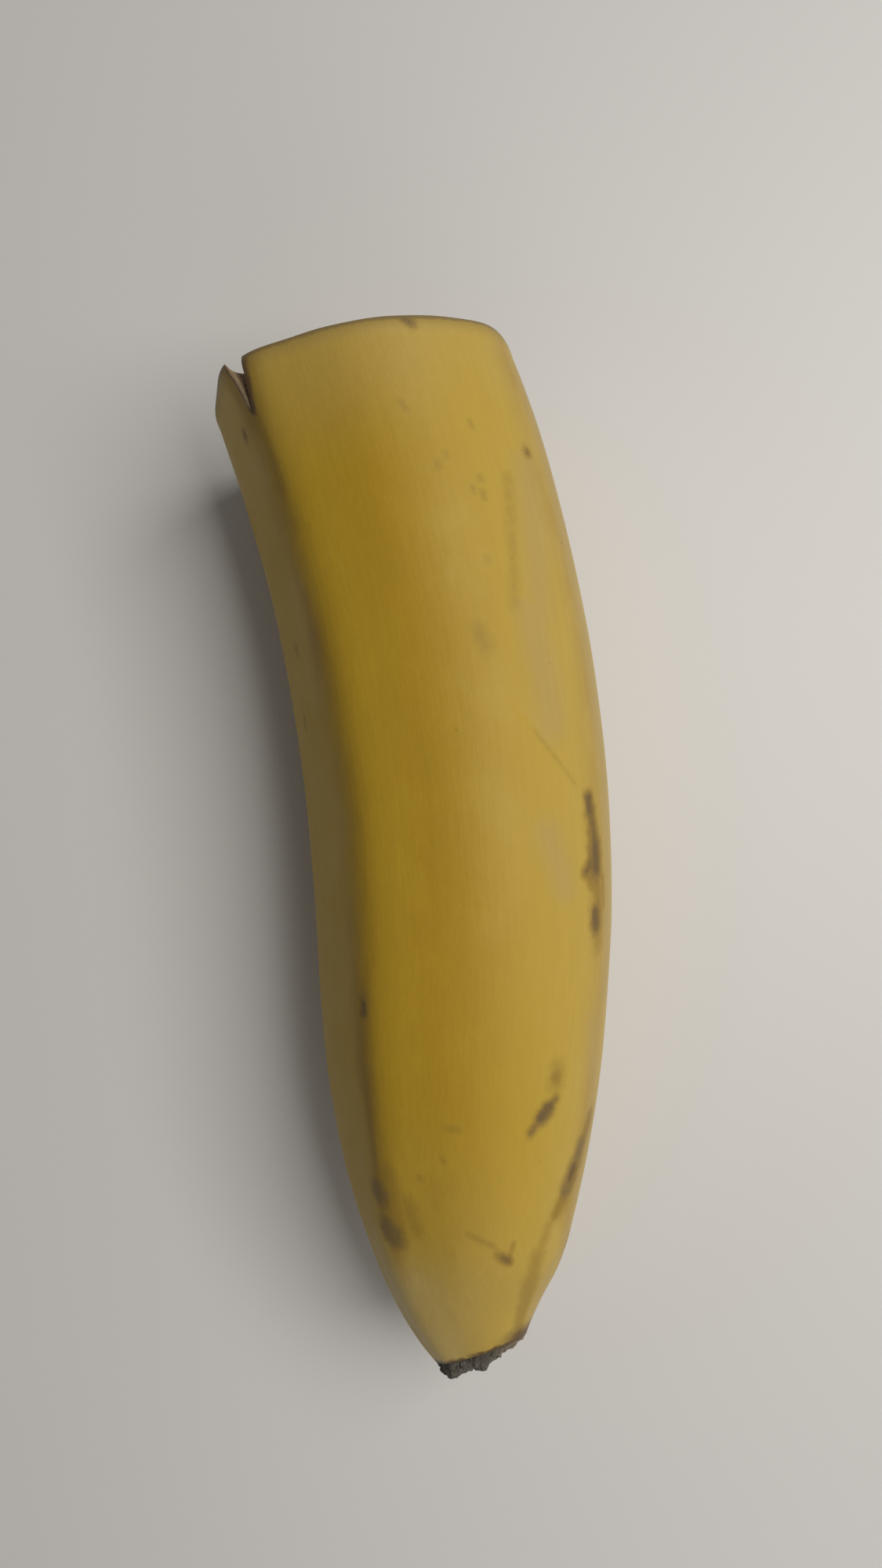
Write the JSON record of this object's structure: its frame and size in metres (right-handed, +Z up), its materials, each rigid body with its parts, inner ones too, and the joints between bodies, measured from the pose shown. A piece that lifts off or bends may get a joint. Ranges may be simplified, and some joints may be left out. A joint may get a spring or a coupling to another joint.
{
  "type": "unpeeled banana piece",
  "caption": "Blossom-end piece of a ripe banana in its peel, cut off flat by a knife, with a short split at the peel's rim, lying on its side.",
  "frame": {"origin": "middle of the underside of the whole piece's box, on the surface it lies on", "axes": "+Y towards the cut end, -Y towards the blossom end, +X towards the outside of the fruit's bend, +Z up"},
  "size_m": [0.0506, 0.1294, 0.0368],
  "materials": {
    "peel_skin": "waxy ripe yellow peel with soft gloss, brown ridge tint, bruises and small dark spots; pale fibrous pith inside",
    "flesh_pulp": "moist cream cut flesh with a faint three-part core and tiny dark seeds",
    "blossom_scar": "dry, rough, dark grey-brown scar"
  },
  "bodies": {
    "root": {"peel": "peel_skin", "flesh": "flesh_pulp", "blossom_end": "blossom_scar"}
  },
  "joints": []
}
